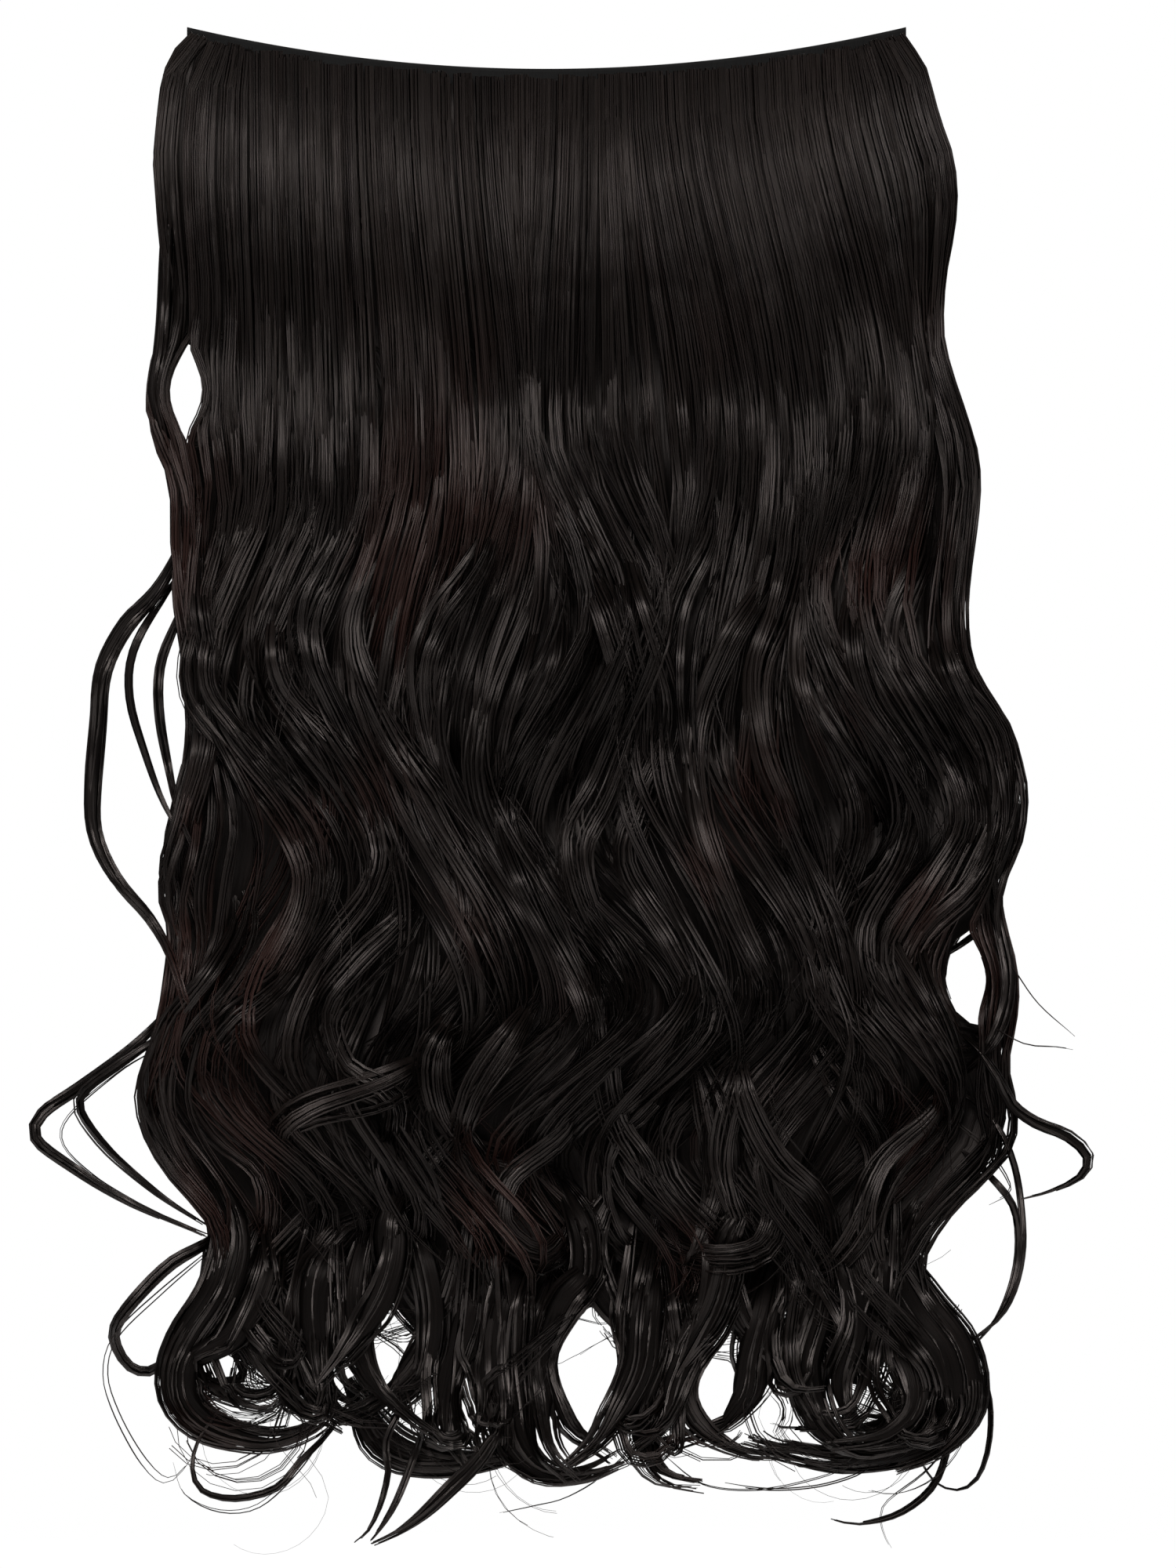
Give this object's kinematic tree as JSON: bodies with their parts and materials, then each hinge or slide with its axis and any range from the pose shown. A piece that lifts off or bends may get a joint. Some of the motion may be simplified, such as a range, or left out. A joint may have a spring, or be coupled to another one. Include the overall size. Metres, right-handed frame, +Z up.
{
  "type": "clip-in hair extension",
  "caption": "One-piece clip-in hair extension: a stitched weft band with rows of long wavy dark hair that end in curls, and snap clips along its back.",
  "frame": {"origin": "middle of the weft band's back face, half way up the band, where the middle clip pins it on", "axes": "+Z up along the hanging hair, +X to the right of the side that shows, +Y out of the back, towards the clips"},
  "size_m": [0.379, 0.0544, 0.5544],
  "materials": {
    "hair": "soft satin fibre, near-black brown",
    "band": "matt sewn webbing, near-black",
    "clip": "smooth dark enamel"
  },
  "bodies": {
    "root": {"weft_band": "band", "hair_front_row": "hair", "hair_back_row": "hair", "snap_clip_1": "clip", "snap_clip_2": "clip", "snap_clip_3": "clip", "snap_clip_4": "clip", "snap_clip_5": "clip"}
  },
  "joints": []
}
